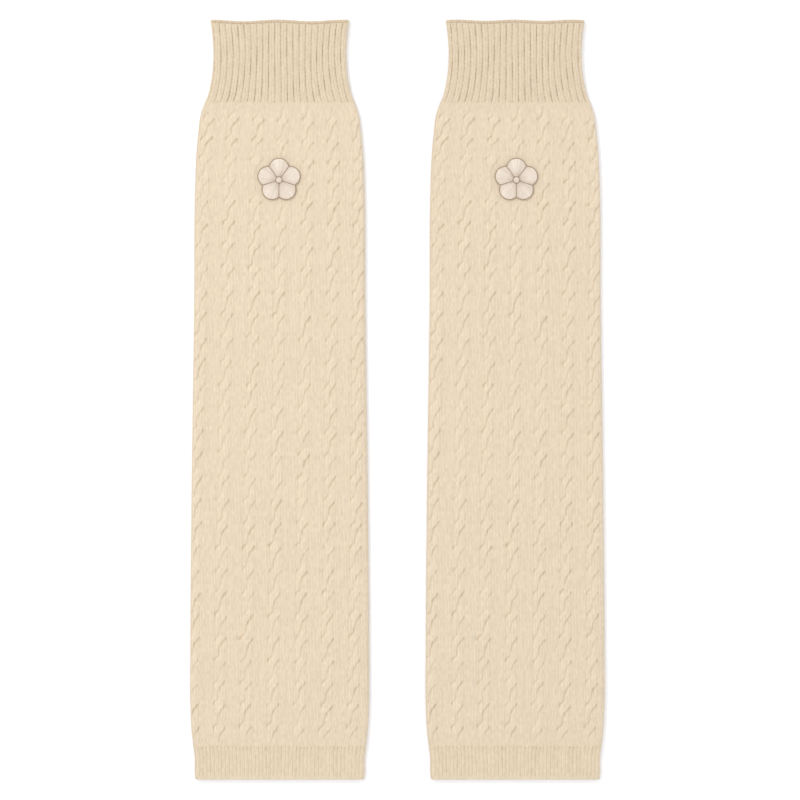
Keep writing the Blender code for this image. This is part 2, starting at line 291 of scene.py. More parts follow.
KNOT_WINDING = 0.09                 # rise of the thread round a knot, in shares of its radius
KNOT_WINDS = 9
KNOT_DIMPLE = 0.25
KNOT_SIDES = 20
KNOT_RINGS = 12
KNOTS = 6
PRESSED_MARGIN = 0.6 * MM           # the cables lie flat under the flower and this far round it
PRESSED_REACH = 3.0 * MM

# ---------------------------------------------------------------- stitches
COURSE = 1.35 * MM                  # height of a row of stitches
YARN_ROUNDNESS = 2.4                # of each slanted leg of a stitch
STITCH_SLANT = 0.7
STITCH_BEAD = 0.4                   # how far a leg sinks at both of its ends
GAP_SHADE = 0.4                     # painted shade between the legs of the stitches
TONE_CELL = (2.0, 0.5, 1.0)         # patches of one tone to a wale and to a course

DASH_TABLE = (97, 101)              # lines and steps after which the dashes repeat

# Where the uneven values of each kind start, so that every run gives the same ones
SEEDS = {
    "cuff ribs": 11,
    "grooves": 12,
    "hem ribs": 21,
    "threads": 31,
    "thread tones": 32,
    "delay": 100,
    "strength": 200,
    "waver": 300,
    "aside": 400,
    "crease dashes": 500,
}

# The two leg warmers: the twist of their cables, the waves of the top edge, the place of
# the flower, and the shift of the cuff's ribs, in ribs
GARMENT_COLUMNS = (
    "side", "twist_cuff", "twist_hem", "wave", "wave_length", "wave_crest", "flower", "rib_shift")
GARMENTS = (
    ("left", 2.4, -4.7, 1.0, 42.5, -1.5, -0.3, -0.29),
    ("right", 2.2, -3.2, 0.75, 36.5, -0.5, 0.6, 0.0),
)

# ---------------------------------------------------------------- finishes
SCREEN_GAMMA = 2.2
CUFF_COLOUR = (213, 197, 172)
LEG_COLOUR = (222, 207, 183)
HEM_COLOUR = (214, 198, 172)
# the colour that painted shade darkens the yarn towards
PAINTED_SHADE_COLOUR = (184, 162, 132)
PETAL_COLOUR = (228, 216, 202)
# the colour that painted shade darkens the petals' thread towards
PETAL_PAINTED_SHADE = (190, 173, 156)
CORD_COLOUR = (170, 149, 130)
# the colour that painted shade darkens the cords' thread towards
CORD_PAINTED_SHADE = (131, 111, 92)

STITCH_TONE = 0.1                   # range of tone from one leg of a stitch to the next
BLOTCHES = (
    # scale, amount
    (45.0, 0.03),
    (420.0, 0.14),
)
SHEEN_ROUGHNESS = 0.6
YARN_GLOSS = 0.25
STITCH_STRENGTH = 0.7               # of the stitches' relief in the light
YARNS = (
    # name, colour, colour of the painted shade, height of the stitches, roughness, sheen
    ("cuff_yarn", CUFF_COLOUR, PAINTED_SHADE_COLOUR, 0.25 * MM, 0.95, 0.3),
    ("leg_yarn", LEG_COLOUR, PAINTED_SHADE_COLOUR, 0.22 * MM, 0.95, 0.3),
    ("hem_yarn", HEM_COLOUR, PAINTED_SHADE_COLOUR, 0.2 * MM, 0.95, 0.3),
    ("petal_thread", PETAL_COLOUR, PETAL_PAINTED_SHADE, 0.03 * MM, 0.5, 0.2),
    ("edging_thread", CORD_COLOUR, CORD_PAINTED_SHADE, 0.03 * MM, 0.6, 0.1),
)
FLOOR_COLOUR = (0.925, 0.93, 0.95)
FLOOR_ROUGHNESS = 0.9
FLOOR_GLOSS = 0.1
FLOOR_HALF = 3.0
FLOOR_DROP = 0.05 * MM              # just clear of the cloth

# ---------------------------------------------------------------- camera and light
PHOTO_PIXELS = 800
PIXEL = 0.6322 * MM                 # of the photograph, at the edge of the cloth
CAMERA_LENS_MM = 85.0
CAMERA_SENSOR_MM = 36.0
CAMERA_OFFSET = (1.6 * MM, -0.2 * MM)
CLOTH_HEIGHT = 2.0 * MM             # of the folded edges above the floor
SKY_STRENGTH = 1.06
LAMPS = (
    # name, direction from the cloth, distance, size, power
    ("key", (-1.0, 1.2, 1.6), 2.0, 0.11, 8.2),
    ("fill", (-0.36, 0.0, 0.93), 1.0, 0.5, 0.85),
)


# ================================================================ numbers along the cloth
def smooth_table(table, places):
    """Reads a two-column table in millimetres along a smooth curve; metres in and out."""
    known = np.array([row[0] for row in table], dtype=float)
    values = np.array([row[1] for row in table], dtype=float)
    slopes = np.gradient(values, known)
    spots = np.clip(np.asarray(places) / MM, known[0], known[-1])
    index = np.clip(np.searchsorted(known, spots, side="right") - 1, 0, len(known) - 2)
    span = known[index + 1] - known[index]
    part = (spots - known[index]) / span
    start = (1 + 2 * part) * (1 - part) ** 2 * values[index]
    start += part * (1 - part) ** 2 * span * slopes[index]
    end = part ** 2 * (3 - 2 * part) * values[index + 1]
    end += part ** 2 * (part - 1) * span * slopes[index + 1]
    return (start + end) * MM


def half_width(down):
    """Half of the whole flat width."""
    return smooth_table(OUTLINE, down)


def fade(place, reach):
    """0 at or before nothing, rising smoothly to 1 at the given reach."""
    part = np.clip(np.asarray(place) / reach, 0.0, 1.0)
    return part * part * (3 - 2 * part)


def bell(place, half):
    """1 at nothing, falling off smoothly on both sides."""
    return np.exp(-(place / half) ** 2)


def half_thickness(down):
    """Half of the height of the flattened tube: its wall and half of the gap inside."""
    into_leg = fade(down - (CUFF_END - SEAM_BLEND), SEAM_BLEND)
    into_hem = fade(down - LEG_END, SEAM_BLEND)
    wall = CUFF_WALL + (LEG_WALL - CUFF_WALL) * into_leg + (HEM_WALL - LEG_WALL) * into_hem
    return wall + LAYER_GAP / 2


def flat_half(down):
    """Half of the width that lies flat, between the two round edges."""
    return half_width(down) - half_thickness(down)


def crossing_number(down):
    """How many crossings of the middle cable lie above this place, with its fraction."""
    numbers = np.linspace(CROSSINGS[0][0], CROSSINGS[-1][0], CROSSING_STEPS)
    downs = smooth_table(CROSSINGS, numbers * MM)
    return np.interp(down, downs, numbers)


def dashes(seed, line, place):
    """Uneven values between -1 and 1 along parallel lines, blended from one to the next."""
    lines, steps = DASH_TABLE
    table = np.random.default_rng(seed).uniform(-1, 1, DASH_TABLE)
    row = np.rint(line).astype(int) % lines
    step = np.floor(place).astype(int)
    part = fade(place - step, 1.0)
    return table[row, step % steps] * (1 - part) + table[row, (step + 1) % steps] * part


def uneven(seed, count):
    """Seeded values between -1 and 1, one for each rib, crossing or thread."""
    return np.random.default_rng(seed).uniform(-1, 1, count)


# ================================================================ tubes
def edge_angle(across, down):
    """How far round the edge a place is: 0 on the upper side, half a turn underneath."""
    past_flat = np.abs(across) - flat_half(down)
    return np.clip(past_flat / half_thickness(down), 0.0, math.pi)


def upper_share(across, down):
    """1 on the upper side, dying away round the edge to 0 underneath."""
    return np.maximum(np.cos(edge_angle(across, down)), 0.0) ** 2


def edge_shade(across, down):
    """Painted shade: how much darker the cloth is painted towards the fold at its left side."""
    turned = fade(edge_angle(across, down), EDGE_SHADE_TURN)
    return np.where(across < 0, LIT_EDGE_SHADE, 0.0) * turned


def closed_columns(upper, down):
    """Adds the columns round the edges and underneath to the upper side's columns."""
    edge = flat_half(down) + math.pi * half_thickness(down)
    middle_under = edge + flat_half(down)
    steps_edge = np.linspace(0, 1, EDGE_COLUMNS + 1)[1:]
    steps_under = np.linspace(0, 1, UNDER_COLUMNS + 1)[1:]
    right = upper[:, -1:] + (edge[:, None] - upper[:, -1:]) * steps_edge
    left = upper[:, :1] + (-edge[:, None] - upper[:, :1]) * steps_edge
    under = edge[:, None] + (middle_under - edge)[:, None] * steps_under
    return np.hstack((-under[:, ::-1], left[:, ::-1], upper, right, under))


class Tube:
    """One flattened tube of cloth, as long as the frame's node and closed up at its seams."""

    def __init__(self, garment, node, seam_above, seam_below):
        self.garment = garment
        self.node = node
        low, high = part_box(node)
        self.centre_x = (low[0] + high[0]) / 2
        self.start = TOP_EDGE_Y - high[1] - seam_above * SEAM_CLOSING
        self.end = TOP_EDGE_Y - low[1] + seam_below * SEAM_CLOSING
        self.bulge_above = 0.0 if seam_above else RIM_BULGE
        self.bulge_below = 0.0 if seam_below else RIM_BULGE

    def skin(self, across, down, lift):
        """Points of the cloth in world coordinates."""
        flat = flat_half(down)
        radius = half_thickness(down)
        side = np.where(across < 0, -1.0, 1.0)
        angle = edge_angle(across, down)
        beyond = np.maximum(np.abs(across) - flat - math.pi * radius, 0.0)
        reach = np.minimum(np.abs(across), flat) - beyond + (radius + lift) * np.sin(angle)
        height = radius + (radius + lift) * np.cos(angle)
        turns = (side * reach / MM - self.garment["wave_crest"]) / self.garment["wave_length"]
        wave = 0.5 * (1 - np.cos(2 * math.pi * turns)) * self.garment["wave"] * MM
        wave = wave * (1 - fade(down, EDGE_WAVE_REACH))
        return np.stack((self.centre_x + side * reach, TOP_EDGE_Y - down - wave, height), axis=-1)

    def rows(self, step):
        """Rows round the wall: down the outside, round the end, back up the inside and round
        the other end. Gives each row's distance down and how far inward it lies, 0 to 1."""
        first = self.start + self.bulge_above
        last = self.end - self.bulge_below
        outside = np.linspace(first, last, int((last - first) / step) + 2)
        turn = np.linspace(0, math.pi, RIM_STEPS + 2)[1:-1]
        inward = 0.5 - 0.5 * np.cos(turn)
        down = np.concatenate((
            outside,
            last + self.bulge_below * np.sin(turn),
            np.linspace(last, first, INNER_ROWS),
            first - self.bulge_above * np.sin(turn),
            outside[:1],
        ))
        depth = np.concatenate((
            np.zeros(len(outside)),
            inward,
            np.ones(INNER_ROWS),
            inward[::-1],
            np.zeros(1),
        ))
        return down, depth


def mesh_of_grid(name, points, painted_shade_and_tone, stitches=None):
    """A closed mesh from a grid of points whose first and last rows, and columns, meet.
    The third argument is the painted shade of each point, which on the petals also holds the
    threads' uneven tone, and "stitches" is its knit map."""
    rows, columns = points.shape[:2]
    bm = bmesh.new()
    bm.loops.layers.uv.new("knit")
    bmesh.ops.create_grid(bm, x_segments=columns - 1, y_segments=rows - 1, size=0.5, calc_uvs=True)
    mesh = bpy.data.meshes.new(name)
    bm.to_mesh(mesh)
    places = np.empty(len(mesh.vertices) * 3)
    mesh.vertices.foreach_get("co", places)
    places = places.reshape(-1, 3)
    column = np.rint((places[:, 0] + 0.5) * (columns - 1)).astype(int)
    row = np.rint((places[:, 1] + 0.5) * (rows - 1)).astype(int)
    mesh.vertices.foreach_set("co", points[row, column].astype(np.float32).ravel())
    attribute = mesh.attributes.new("painted_shade_and_tone", "FLOAT", "POINT")
    attribute.data.foreach_set("value", painted_shade_and_tone[row, column].astype(np.float32))
    if stitches is not None:
        loops = np.empty(len(mesh.loops), dtype=np.int32)
        mesh.loops.foreach_get("vertex_index", loops)
        flat = stitches[row[loops], column[loops]].astype(np.float32)
        mesh.uv_layers["knit"].data.foreach_set("uv", flat.ravel())
    bm.clear()
    bm.from_mesh(mesh)
    bmesh.ops.remove_doubles(bm, verts=bm.verts[:], dist=MERGE_DISTANCE)
    bmesh.ops.recalc_face_normals(bm, faces=bm.faces[:])
    bm.to_mesh(mesh)
    bm.free()
    mesh.shade_smooth()
    mesh.set_sharp_from_angle(angle=SHARP_ANGLE)
    return mesh


def add_piece(name, mesh, material, node):
    """Links a finished mesh as a piece of the garment that rides with the pair."""
    mesh.materials.append(material)
    piece = bpy.data.objects.new(name, mesh)
    bpy.context.scene.collection.objects.link(piece)
    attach(piece, "root")
    if node:
        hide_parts(node)
    return piece


def cloth_piece(tube, name, columns, down, depth, relief, painted_shade_and_tone, wales, material):
    """The closed wall of a tube, with its relief on the outside, as a laid sheet of cloth."""
    wall = half_thickness(down) - LAYER_GAP / 2
    # painted shade at the left fold
    painted_shade_and_tone = np.maximum(painted_shade_and_tone, edge_shade(columns, down))
    points = tube.skin(columns, down, relief * (1 - depth) - wall * depth)
    stitches = np.stack((wales, -down / COURSE), axis=-1)
    mesh = mesh_of_grid(name, points, painted_shade_and_tone * (1 - depth), stitches)
    piece = add_piece(name, mesh, material, tube.node)
    along = np.linspace(tube.start, tube.end, GIRTH_PLACES)
    girth = float(np.mean(4 * flat_half(along) + 2 * math.pi * half_thickness(along)))
    return piece


# ================================================================ ribbed cuff
def sway(columns, down, lengths):
    """How far a rib strays sideways, in ribs."""
    return RIB_SWAY * np.sin(down / lengths[0] + columns / lengths[1])


def plumpness(phase, ribs, seed, amount):
    """How plump the rib at a place is; the place is counted in ribs from the middle."""
    number = np.clip(np.rint(phase).astype(int) + ribs, 0, 4 * ribs - 1)
    return 1 + amount * uneven(seed, 4 * ribs)[number]


def make_cuff(garment, material):
    """Broad ribs two wales wide with a fine line along each, between narrow grooves, under a
    bound-off edge, with uneven painted shade in the grooves, along the fine lines and along the
    edge."""
    tube = Tube(garment, "cuff_" + garment["side"], seam_above=False, seam_below=True)
    row_down, depth = tube.rows(CUFF_ROW_STEP)
    pitch = CUFF_RIB_PITCH * half_width(row_down) / CUFF_NARROWEST
    ribs = np.arange(CUFF_RIBS * CUFF_RIB_COLUMNS + 1) / CUFF_RIB_COLUMNS - CUFF_RIBS / 2
    columns = closed_columns(pitch[:, None] * ribs, row_down)
    down = np.repeat(row_down[:, None], columns.shape[1], axis=1)

    phase = columns / pitch[:, None] - garment["rib_shift"] + sway(columns, down, CUFF_SWAY)
    off_middle = phase - np.rint(phase)
    plump = plumpness(phase, CUFF_RIBS, SEEDS["cuff ribs"], CUFF_UNEVENNESS)
    rib = np.maximum(1 - np.abs(off_middle / CUFF_RIB_HALF) ** CUFF_RIB_SQUARENESS, 0.0)
    rib = rib ** CUFF_RIB_FULLNESS
    dip = CENTRE_DIP * bell(off_middle, CENTRE_DIP_HALF)
    to_seam = tube.end - down
    settled = fade(to_seam, CUFF_SETTLING)
    relief = CUFF_RIB_LIFT * (rib - dip) * plump * settled + SEAM_RISE * (1 - settled)

    band_part = np.clip((down - tube.start) / BOUND_EDGE, 0.0, 1.0)
    wale = phase * CUFF_WALES_PER_RIB
    loops = 0.5 + 0.5 * np.cos(2 * math.pi * (wale + band_part * BOUND_LOOP_SLANT))
    band = BOUND_EDGE_LIFT * np.sqrt(np.maximum(1 - (2 * band_part - 1) ** 2, 0.0))
    band = band * (BOUND_LOOP_LOW + BOUND_LOOP_RISE * loops)
    in_band = 1 - fade(down - tube.start - BOUND_EDGE, BOUND_EDGE_BLEND)
    relief = relief * (1 - in_band) + band * in_band

    upper = upper_share(columns, down)
    # painted shade: unevenly in the grooves, along the fine lines, at the grooves' ends and along
    # the bound-off edge
    groove = phase + 0.5
    beads = np.sin(2 * math.pi * down / GROOVE_BEAD + GROOVE_BEAD_TURN * np.rint(groove))
    marks = dashes(SEEDS["grooves"], groove, down / GROOVE_DASH)
    uneven_share = GROOVE_DASH_SHARE * marks + GROOVE_BEAD_SHARE * beads
    painted_shade_and_tone = CUFF_GROOVE_SHADE * (1 + uneven_share) * (1 - rib) ** GROOVE_SHARPNESS
    painted_shade_and_tone = painted_shade_and_tone * (1 - in_band) * settled
    painted_shade_and_tone = painted_shade_and_tone + CENTRE_DIP_SHADE * dip * settled
    groove_end = GROOVE_END_SHADE * bell(to_seam - GROOVE_END, GROOVE_END_HALF)
    painted_shade_and_tone = np.maximum(painted_shade_and_tone, groove_end * (1 - rib) ** 2)
    bound_shade = BOUND_EDGE_SHADE * in_band * (1 - BOUND_LOOP_PALENESS * loops)
    painted_shade_and_tone = (painted_shade_and_tone + bound_shade) * upper
    return cloth_piece(tube, "rib_cuff_" + garment["side"], columns, down, depth[:, None],
                       relief * upper, painted_shade_and_tone, wale, material)


# ================================================================ cabled leg
def leg_tube(garment):
    """The tube of a leg, which the flower lies on as well."""
    return Tube(garment, "leg_" + garment["side"], seam_above=True, seam_below=True)


def cable_middle(garment, cable, down):
    """Distance across to the middle of a cable; the middle cable is number 0."""
    part = (down - CUFF_END) / (LEG_END - CUFF_END)
    per_width = CABLES_PER_WIDTH_TOP + part * (CABLES_PER_WIDTH_FOOT - CABLES_PER_WIDTH_TOP)
    twist = garment["twist_cuff"] + part * (garment["twist_hem"] - garment["twist_cuff"])
    return twist * MM + cable * 2 * half_width(down) / per_width


def leg_columns(garment, row_down):
    """Columns across the leg, close together over the cables and wider on the plain knit."""
    zone = np.linspace(-CABLE_ZONE, CABLE_ZONE, CABLE_ZONE_COLUMNS)
    upper = []
    for cable in range(-(CABLES // 2), CABLES // 2 + 1):
        middle = cable_middle(garment, cable, row_down)[:, None]
        upper.append(middle + zone)
        if cable < CABLES // 2:
            start = middle + CABLE_ZONE
            end = cable_middle(garment, cable + 1, row_down)[:, None] - CABLE_ZONE
            steps = np.linspace(0, 1, PANEL_COLUMNS + 2)[1:-1]
            upper.append(start + (end - start) * steps)
    return closed_columns(np.hstack(upper), row_down)


def crease_value(column, away):
    """Reads a column of the crease's table at a distance down from the crossing."""
    index = 1 + CREASE_COLUMNS.index(column)
    return smooth_table([(row[0], row[index]) for row in CREASE], away)


def cable_relief(cable, offset, down):
    """Height of a cable at an offset from its middle, and its painted shade there: most in the
    creases, and least on the crests of the strands, which carry a painted highlight."""
    settling = (LENGTH - down) / LENGTH
    number = crossing_number(down - cable * CROSSING_TILT * settling)
    late = CROSSING_DELAY * uneven(SEEDS["delay"] + cable, CROSSING_COUNT)
    strong = 1 + CROSSING_STRENGTH * uneven(SEEDS["strength"] + cable, CROSSING_COUNT)
    aside = CROSSING_ASIDE * uneven(SEEDS["aside"] + cable, CROSSING_COUNT)
    line = np.zeros_like(offset)
    stray = dashes(SEEDS["waver"] + cable, line, down / CREASE_WAVER_LENGTH)
    broken = dashes(SEEDS["crease dashes"] + cable, line, down / CREASE_DASH)
    cut = np.zeros_like(offset)
    shade = np.zeros_like(offset)
    painted_highlight = np.zeros_like(offset)
    nearest = np.rint(number)
    for shift in (-1, 0, 1):
        crossing = nearest + shift
        index = np.clip(crossing - FIRST_CROSSING, 0, CROSSING_COUNT - 1).astype(int)
        away = (number - crossing - late[index]) * CROSSING_PITCH
        path = crease_value("across", away)
        slope = (crease_value("across", away + SLOPE_STEP) - path) / SLOPE_STEP
        path = path + CREASE_WAVER * stray + aside[index]
        off_crease = (offset - path) / np.hypot(1, slope)
        reach = np.where(off_crease < 0, crease_value("reach_above", away),
                         crease_value("reach_below", away))
        notch = crease_value("depth", away) * np.exp(-np.abs(off_crease) / reach)
        cut = np.maximum(cut, notch * strong[index])
        hundredths = crease_value("shade", away) / MM
        dark = (1 - VALLEY_SHARE) * bell(off_crease, CREASE_WIDTH)
        dark += VALLEY_SHARE * bell(off_crease, VALLEY_WIDTH)
        dark *= hundredths / 100 * strong[index] * (1 + CREASE_DASH_SHARE * broken)
        shade = np.maximum(shade, dark)
        crest = bell(off_crease + SHOULDER, SHOULDER_WIDTH)
        crest *= fade(CREST_ABOVE[0] - away, CREST_ABOVE[1])
        below = bell(off_crease - SHOULDER, SHOULDER_WIDTH)
        crest += below * fade(away - CREST_BELOW[0], CREST_BELOW[1])
        painted_highlight = np.maximum(painted_highlight, crest * fade(hundredths, CREST_ONSET))
    hump = 1 - np.abs(offset / CABLE_HALF_WIDTH) ** CABLE_SQUARENESS
    hump = np.maximum(hump, 0.0) ** CABLE_SLOPE
    # painted highlight on the knit left of the cable, and on the whole raised cable
    lit_band = LIT_BAND_HIGHLIGHT * bell(offset + LIT_BAND, LIT_BAND_WIDTH)
    painted_highlight = np.maximum(painted_highlight, CABLE_HIGHLIGHT * hump + lit_band)
    return (CABLE_LIFT - cut) * hump, np.maximum(shade, PAINTED_BODY_SHADE * (1 - painted_highlight))


def make_leg(garment, material):
    """Seven cables of two crossing strands on plain knit, with a purl groove beside each."""
    tube = leg_tube(garment)
    row_down, depth = tube.rows(LEG_ROW_STEP)
    columns = leg_columns(garment, row_down)
    down = np.repeat(row_down[:, None], columns.shape[1], axis=1)

    pitch = 2 * half_width(down) / CABLES_PER_WIDTH_TOP
    relief = np.zeros_like(columns)
    painted_shade_and_tone = np.zeros_like(columns)
    wales = np.zeros_like(columns)
    half = CABLES // 2
    for cable in range(-half, half + 1):
        offset = columns - cable_middle(garment, cable, down)
        low = -np.inf if cable == -half else -0.5
        high = np.inf if cable == half else 0.5
        here = (offset >= low * pitch) & (offset <= high * pitch)
        height, shade = cable_relief(cable, offset, down)
        groove = bell(np.abs(offset) - PURL_GROOVE, PURL_GROOVE_WIDTH)
        from_panel = (np.abs(offset) / pitch - 0.5) / PANEL_SHARE
        crown = np.cos(math.pi * np.clip(from_panel, -0.5, 0.5))
        shape = height - PURL_GROOVE_DEPTH * groove + PANEL_CROWN * crown
        relief = np.where(here, shape, relief)
        # painted shade in the purl groove, on the left of a cable only
        shade = shade + PURL_GROOVE_SHADE * groove * (offset < 0)
        painted_shade_and_tone = np.where(here, shade, painted_shade_and_tone)
        wales = np.where(here, (cable + offset / pitch) * WALES_PER_CABLE, wales)

    from_flower = np.hypot(columns - garment["flower"] * MM, down - FLOWER_DOWN)
    free = fade(from_flower - FLOWER_RADIUS - PRESSED_MARGIN, PRESSED_REACH)
    ends = fade(down - tube.start, CABLE_START) * fade(tube.end - down, CABLE_START)
    upper = upper_share(columns, down)
    share = upper * free * ends
    relief = relief * share + SEAM_RISE * (1 - fade(down - tube.start, SEAM_BLEND)) * upper
    # where the relief fades, the painted shade fades to that of the plain knit
    return cloth_piece(tube, "cable_leg_" + garment["side"], columns, down, depth[:, None],
                       relief, PAINTED_BODY_SHADE + (painted_shade_and_tone - PAINTED_BODY_SHADE) * share, wales, material)


# ================================================================ ribbed hem
def make_hem(garment, material):
    """Narrow ribs, one wale each, down to a soft bottom edge."""
    tube = Tube(garment, "hem_" + garment["side"], seam_above=True, seam_below=False)
    row_down, depth = tube.rows(HEM_ROW_STEP)
    pitch = HEM_RIB_PITCH * half_width(row_down) / half_width(LENGTH)
    ribs = np.arange(HEM_RIBS * HEM_RIB_COLUMNS + 1) / HEM_RIB_COLUMNS - HEM_RIBS / 2
    columns = closed_columns(pitch[:, None] * ribs, row_down)
    down = np.repeat(row_down[:, None], columns.shape[1], axis=1)

    phase = columns / pitch[:, None] + sway(columns, down, HEM_SWAY)
    plump = plumpness(phase, HEM_RIBS, SEEDS["hem ribs"], HEM_UNEVENNESS)
    rib = np.cos(math.pi * phase) ** 2
    upper = upper_share(columns, down)
    below_seam = down - tube.start
    ends = fade(below_seam, HEM_START) * fade(tube.end - down, HEM_FINISH)
    relief = HEM_RIB_LIFT * rib * plump * ends * upper
    # painted shade in the grooves, deeper along a row below the seam and fainter at the bottom
    # edge
    mark = HEM_MARK_SHADE * bell(below_seam - HEM_MARK, HEM_MARK_HALF)
    left_over = HEM_END_SHADE + (1 - HEM_END_SHADE) * ends
    painted_shade_and_tone = (1 - rib) * (HEM_GROOVE_SHADE + mark) * plump * left_over * upper
    return cloth_piece(tube, "rib_hem_" + garment["side"], columns, down, depth[:, None], relief,
                       painted_shade_and_tone, phase + 0.5, material)


# ================================================================ embroidered flower
def petal_reach(angle):
    """Distance from the flower's middle to its outline, in shares of its radius."""
    petal_angle = 2 * math.pi / PETALS
    off_axis = (angle + petal_angle / 2) % petal_angle - petal_angle / 2
    sideways = PETAL_CENTRE * np.sin(off_axis)
    return PETAL_CENTRE * np.cos(off_axis) + np.sqrt(PETAL_ROUND ** 2 - sideways ** 2)


def flower_points(tube, distance, angle, lift):
    """Points above the leg's skin at a distance and an angle from the flower's middle."""
    across = tube.garment["flower"] * MM + distance * np.sin(angle)
    down = FLOWER_DOWN - distance * np.cos(angle)
    return tube.skin(across, down, FLOWER_GAP + lift)


def make_petals(garment, material):
    """Padded petals covered by satin stitches that fan out from the middle."""
    tube = leg_tube(garment)
    threads = PETALS * THREADS_PER_PETAL
    angle = np.linspace(0, 2 * math.pi, threads * COLUMNS_PER_THREAD + 1)[None, :]
    part = np.concatenate((np.linspace(0, 1, PETAL_ROWS), [1.0, 0.5, 0.0]))[:, None]
    above = np.concatenate((np.ones(PETAL_ROWS), [0.0, 0.0, 0.0]))[:, None]
    turn = angle * threads / 2 / math.pi
    number = np.rint(turn).astype(int) % threads
    on_petal = np.abs(np.cos(PETALS * angle / 2)) ** PETAL_FULLNESS
    dome = np.sin(math.pi * np.clip(part, 0, 1) ** PETAL_FULLNESS) ** DOME_FULLNESS * on_petal
    plump = 1 + THREAD_UNEVENNESS * uneven(SEEDS["threads"], threads)[number]
    round_thread = np.abs(np.cos(math.pi * turn)) * plump
    ridges = round_thread * fade(part, THREAD_START)
    rise = (FLOWER_CROWN - FLOWER_EDGE) * dome + THREAD_RISE * ridges
    points = flower_points(tube, FLOWER_RADIUS * petal_reach(angle) * part, angle,
                           (FLOWER_EDGE + rise) * above)
    tone = 0.5 + 0.5 * uneven(SEEDS["thread tones"], threads)[number]
    # painted shade between petals and threads, the threads' uneven tone, and darker towards the
    # middle
    painted_shade_and_tone = PETAL_SHADES["between petals"] * (1 - on_petal)
    painted_shade_and_tone = painted_shade_and_tone + PETAL_SHADES["between threads"] * (1 - round_thread)
    painted_shade_and_tone = painted_shade_and_tone + PETAL_SHADES["uneven threads"] * tone
    painted_shade_and_tone = painted_shade_and_tone + PETAL_SHADES["towards the middle"] * (1 - fade(part, MIDDLE_REACH))
    painted_shade_and_tone = np.clip(painted_shade_and_tone * above, 0, 1)
    stitches = np.stack((turn + 0 * part, part * PETAL_STITCHES + 0 * angle), axis=-1)
    mesh = mesh_of_grid("petals", points, painted_shade_and_tone, stitches)
    return add_piece("petals_" + garment["side"], mesh, material,
                     "flower_" + garment["side"])


def cord_grid(path, radius, stitches, closed):
    """Points of a stitched cord along a path on the cloth, with slanted turns of thread, and
    the painted shade of each point, deepest between two turns."""
    tangent = np.gradient(path, axis=0)
    if closed:
        tangent[0] = tangent[-1] = path[1] - path[-2]
    tangent /= np.linalg.norm(tangent, axis=1)[:, None]
    upward = np.array([0.0, 0.0, 1.0])
    sideways = np.cross(tangent, upward)
    sideways /= np.linalg.norm(sideways, axis=1)[:, None]
    around = np.linspace(0, 2 * math.pi, CORD_SIDES + 1)[None, :]
    along = np.linspace(0, 1, len(path))[:, None]
    turns = np.cos(2 * math.pi * stitches * along + around)
    size = radius * (1 + CORD_TURN_RISE * turns)
    if not closed:
        size = size * np.sqrt(np.clip(1 - (2 * along - 1) ** CORD_BLUNTNESS, 0, 1))
    side_part = (size * np.cos(around))[..., None] * sideways[:, None, :]
    up_part = (size * np.sin(around))[..., None] * upward
    return path[:, None, :] + side_part + up_part, 0.5 - 0.5 * turns


def make_flower_edging(garment, material):
    """Stitched cords round the flower, between its petals and round its middle."""
    tube = leg_tube(garment)
    turn = np.linspace(0, 2 * math.pi, OUTLINE_POINTS)
    edge = FLOWER_RADIUS * CORD_PLACE * petal_reach(turn)
    outline = flower_points(tube, edge, turn, FLOWER_EDGE)
    ring = turn[::5]
    middle = flower_points(tube, CENTRE_RING + 0 * ring, ring, FLOWER_EDGE + CENTRE_RING_LIFT)
    cords = [(outline, OUTLINE_TURNS, True), (middle, RING_TURNS, True)]
    for petal in range(PETALS):
        angle = 2 * math.pi * (petal + 0.5) / PETALS
        end = FLOWER_RADIUS * LINE_END * petal_reach(angle)
        distance = np.linspace(CENTRE_RING, end, LINE_POINTS)
        line = flower_points(tube, distance, angle + 0 * distance, FLOWER_EDGE)
        cords.append((line, LINE_TURNS, False))
    bm = bmesh.new()
    for path, stitches, closed in cords:
        # painted shade between the turns of thread
        grid, between = cord_grid(path, CORD_RADIUS, stitches, closed)
        mesh = mesh_of_grid("cord", grid, between)
        bm.from_mesh(mesh)
        bpy.data.meshes.remove(mesh)
    mesh = bpy.data.meshes.new("edging")
    bm.to_mesh(mesh)
    bm.free()
    mesh.shade_smooth()
    return add_piece("flower_edging_" + garment["side"], mesh, material, None)


def make_flower_knots(garment, material):
    """A ring of small wound knots and one in its middle, inside the flower's centre ring."""
    tube = leg_tube(garment)
    bm = bmesh.new()
    places = [(0.0, 0.0)]
    places += [(KNOT_RING, 2 * math.pi * (knot + 0.25) / KNOTS) for knot in range(KNOTS)]
    for distance, angle in places:
        middle = flower_points(tube, np.array(distance), np.array(angle),
                               FLOWER_EDGE + KNOT_LIFT)
        made = bmesh.ops.create_uvsphere(bm, u_segments=KNOT_SIDES, v_segments=KNOT_RINGS,
                                         radius=KNOT_RADIUS)
        for vert in made["verts"]:
            turn = math.atan2(vert.co.y, vert.co.x)
            slope = vert.co.z / KNOT_RADIUS
            winding = 1 + KNOT_WINDING * math.cos(2 * turn + KNOT_WINDS * slope)
            dimple = KNOT_DIMPLE * max(slope, 0.0) ** 6
            vert.co = Vector((vert.co.x * winding, vert.co.y * winding,
                              vert.co.z * KNOT_FLATNESS * (1 - dimple)))
        bmesh.ops.translate(bm, verts=made["verts"], vec=Vector(middle))
    bm.loops.layers.uv.new("knit")
    mesh = bpy.data.meshes.new("knots")
    bm.to_mesh(mesh)
    bm.free()
    mesh.shade_smooth()
    return add_piece("flower_knots_" + garment["side"], mesh, material, None)


# ================================================================ finishes
def linear(colour):
    """A colour as it is seen on a screen, in the shader's own terms."""
    return tuple((value / 255) ** SCREEN_GAMMA for value in colour)


